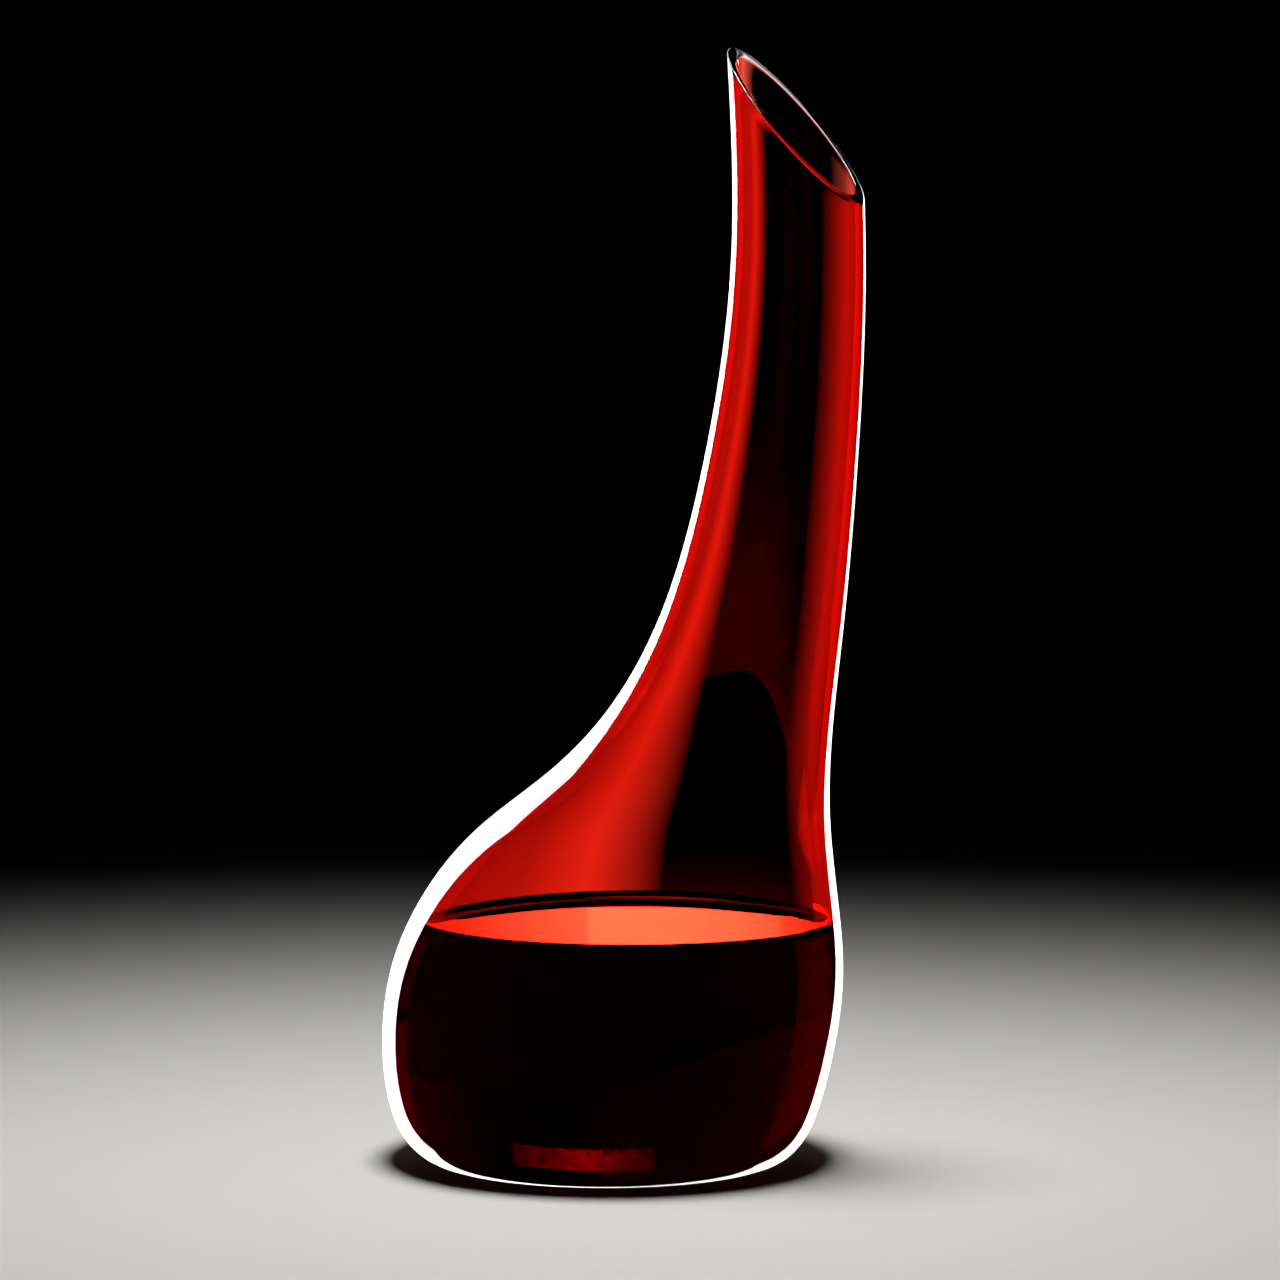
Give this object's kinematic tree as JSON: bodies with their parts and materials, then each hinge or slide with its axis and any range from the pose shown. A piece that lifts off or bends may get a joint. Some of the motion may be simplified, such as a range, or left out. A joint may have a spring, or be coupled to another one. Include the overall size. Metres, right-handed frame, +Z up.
{
  "type": "wine decanter",
  "caption": "Leaning swan-neck glass decanter with a round bowl, slanted open mouth, clear outer layer, ruby lining and red wine inside.",
  "frame": {"origin": "centre of the flat standing face, on the surface that the decanter stands on", "axes": "+Z up along the decanter's height; +X towards the side that the neck leans to, where the low end of the slanted mouth is; the XZ plane is the plane of symmetry"},
  "size_m": [0.1419, 0.1302, 0.3162],
  "materials": {
    "clear_glass": "polished",
    "ruby_glass": "polished",
    "red_wine": "gloss"
  },
  "bodies": {
    "root": {"clear_casing": "clear_glass", "ruby_lining": "ruby_glass", "wine": "red_wine"}
  },
  "joints": []
}
